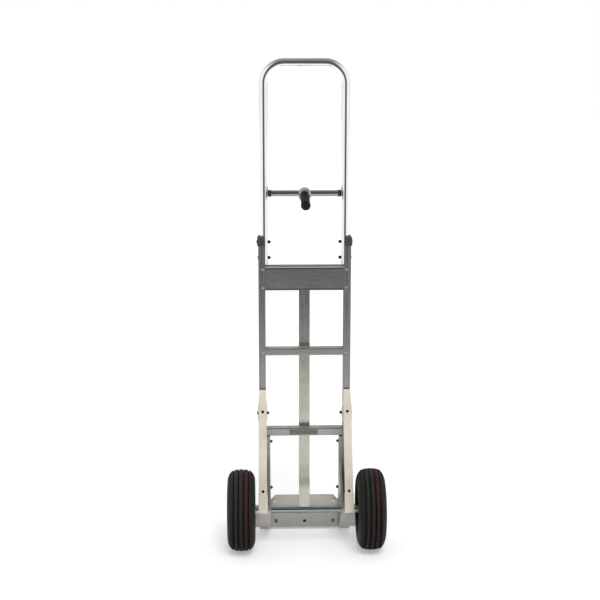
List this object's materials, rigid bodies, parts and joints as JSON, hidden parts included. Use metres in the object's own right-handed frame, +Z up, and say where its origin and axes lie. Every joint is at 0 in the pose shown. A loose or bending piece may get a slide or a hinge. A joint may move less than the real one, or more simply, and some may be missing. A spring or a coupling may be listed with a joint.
{
  "type": "hand truck",
  "caption": "Tall two-wheel aluminium hand truck with channel side rails, a loop handle with a rear grip, stair runners, a nose plate and air-filled wheels.",
  "frame": {"origin": "on the floor, at the centre of the truck's outline seen from above", "axes": "+Z up, +X to the right for a person behind the truck, +Y towards the load and the nose plate"},
  "size_m": [0.494, 0.507, 1.52],
  "materials": {
    "bar_aluminium": "satin extrusion",
    "bearing_steel": "ground",
    "blank_plate": "bare plate",
    "bright_tube": "polished tube",
    "cap_plastic": "moulded",
    "cast_aluminium": "sand cast",
    "dark_steel": "black oxide",
    "grip_rubber": "moulded",
    "nose_aluminium": "satin plate",
    "panel_aluminium": "ribbed mill finish extrusion",
    "rail_aluminium": "mill finish extrusion",
    "rim_paint": "gloss paint",
    "runner_aluminium": "mill finish bar",
    "strap_aluminium": "satin flat bar",
    "tube_rubber": "smooth",
    "tyre_rubber": "moulded tread",
    "valve_rubber": "moulded",
    "wear_plastic": "moulded",
    "zinc_steel": "zinc plated"
  },
  "bodies": {
    "frame": {"axle": "zinc_steel", "axle_spacers": "zinc_steel", "axle_washers": "zinc_steel", "base_crossbar": "bar_aluminium", "blank_plate": "blank_plate", "bracket_bolts": "zinc_steel", "bracket_nuts": "zinc_steel", "center_strap": "strap_aluminium", "cotter_pins": "zinc_steel", "grip_stub": "cast_aluminium", "hand_grip": "grip_rubber", "handle_bolts": "dark_steel", "handle_crossbar": "bar_aluminium", "handle_ferrules": "cap_plastic", "handle_nuts": "dark_steel", "handle_saddles": "bright_tube", "loop_handle": "bright_tube", "lower_crossbar": "bar_aluminium", "middle_crossbar": "bar_aluminium", "nose_bolts": "zinc_steel", "nose_nuts": "zinc_steel", "nose_plate": "nose_aluminium", "rail_cap_left": "cap_plastic", "rail_cap_right": "cap_plastic", "rail_rivets": "runner_aluminium", "side_rail_left": "rail_aluminium", "side_rail_right": "rail_aluminium", "stair_runner_left": "runner_aluminium", "stair_runner_right": "runner_aluminium", "strap_rivets": "runner_aluminium", "strip_screws": "dark_steel", "top_panel": "panel_aluminium", "wear_block_left": "wear_plastic", "wear_block_right": "wear_plastic", "wear_strip_left": "wear_plastic", "wear_strip_right": "wear_plastic", "wheel_bracket_left": "cast_aluminium", "wheel_bracket_right": "cast_aluminium"},
    "left_wheel": {"left_tyre": "tyre_rubber", "left_inner_tube": "tube_rubber", "left_rim_outer_half": "rim_paint", "left_rim_inner_half": "rim_paint", "left_hub": "rim_paint", "left_bearings": "bearing_steel", "left_rim_bolts": "zinc_steel", "left_rim_nuts": "zinc_steel", "left_valve_stem": "valve_rubber"},
    "right_wheel": {"right_tyre": "tyre_rubber", "right_inner_tube": "tube_rubber", "right_rim_outer_half": "rim_paint", "right_rim_inner_half": "rim_paint", "right_hub": "rim_paint", "right_bearings": "bearing_steel", "right_rim_bolts": "zinc_steel", "right_rim_nuts": "zinc_steel", "right_valve_stem": "valve_rubber"}
  },
  "joints": [
    {"name": "left_wheel_spin", "type": "hinge", "parent": "frame", "child": "left_wheel", "pos_m": [-0.203, -0.1265, 0.127], "axis": [1, 0, 0], "continuous": true},
    {"name": "right_wheel_spin", "type": "hinge", "parent": "frame", "child": "right_wheel", "pos_m": [0.203, -0.1265, 0.127], "axis": [1, 0, 0], "continuous": true}
  ]
}
